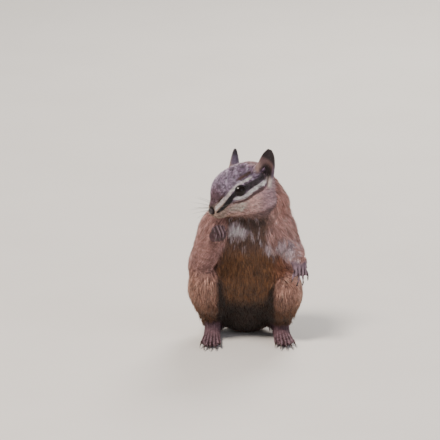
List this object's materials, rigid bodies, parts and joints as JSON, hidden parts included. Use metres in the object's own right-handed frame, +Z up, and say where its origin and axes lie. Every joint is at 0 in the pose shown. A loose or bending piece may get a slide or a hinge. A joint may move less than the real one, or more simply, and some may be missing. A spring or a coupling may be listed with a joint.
{
  "type": "chipmunk",
  "caption": "Life-size chipmunk sitting up on its haunches, head turned to one side, one hand held to its chin and the other reaching down, tail laid out behind.",
  "frame": {"origin": "middle of the underside of the whole model's bounding box, on the floor", "axes": "+Z up, -Y the way the body faces, +X the animal's left; the tail lies towards +Y"},
  "size_m": [0.0494, 0.1336, 0.082],
  "materials": {
    "coat": "short dense fur with dark and pale stripes",
    "tail_coat": "long fur with dark and frosted tips",
    "ear": "thin skin with fine down",
    "paw_skin": "thin-haired skin with dark claws",
    "nose": "moist bare skin",
    "eye": "wet and glossy"
  },
  "bodies": {
    "root": {"head": "coat", "nose": "nose", "eye_left": "eye", "eye_right": "eye", "chest": "coat", "abdomen": "coat", "neck": "coat", "ear_left": "ear", "ear_right": "ear", "thigh_right": "coat", "shank_right": "coat", "upper_arm_right": "coat", "forearm_right": "coat", "hand_right": "paw_skin", "foot_right": "paw_skin", "thigh_left": "coat", "shank_left": "coat", "upper_arm_left": "coat", "forearm_left": "coat", "hand_left": "paw_skin", "foot_left": "paw_skin", "tail": "tail_coat"}
  },
  "joints": []
}
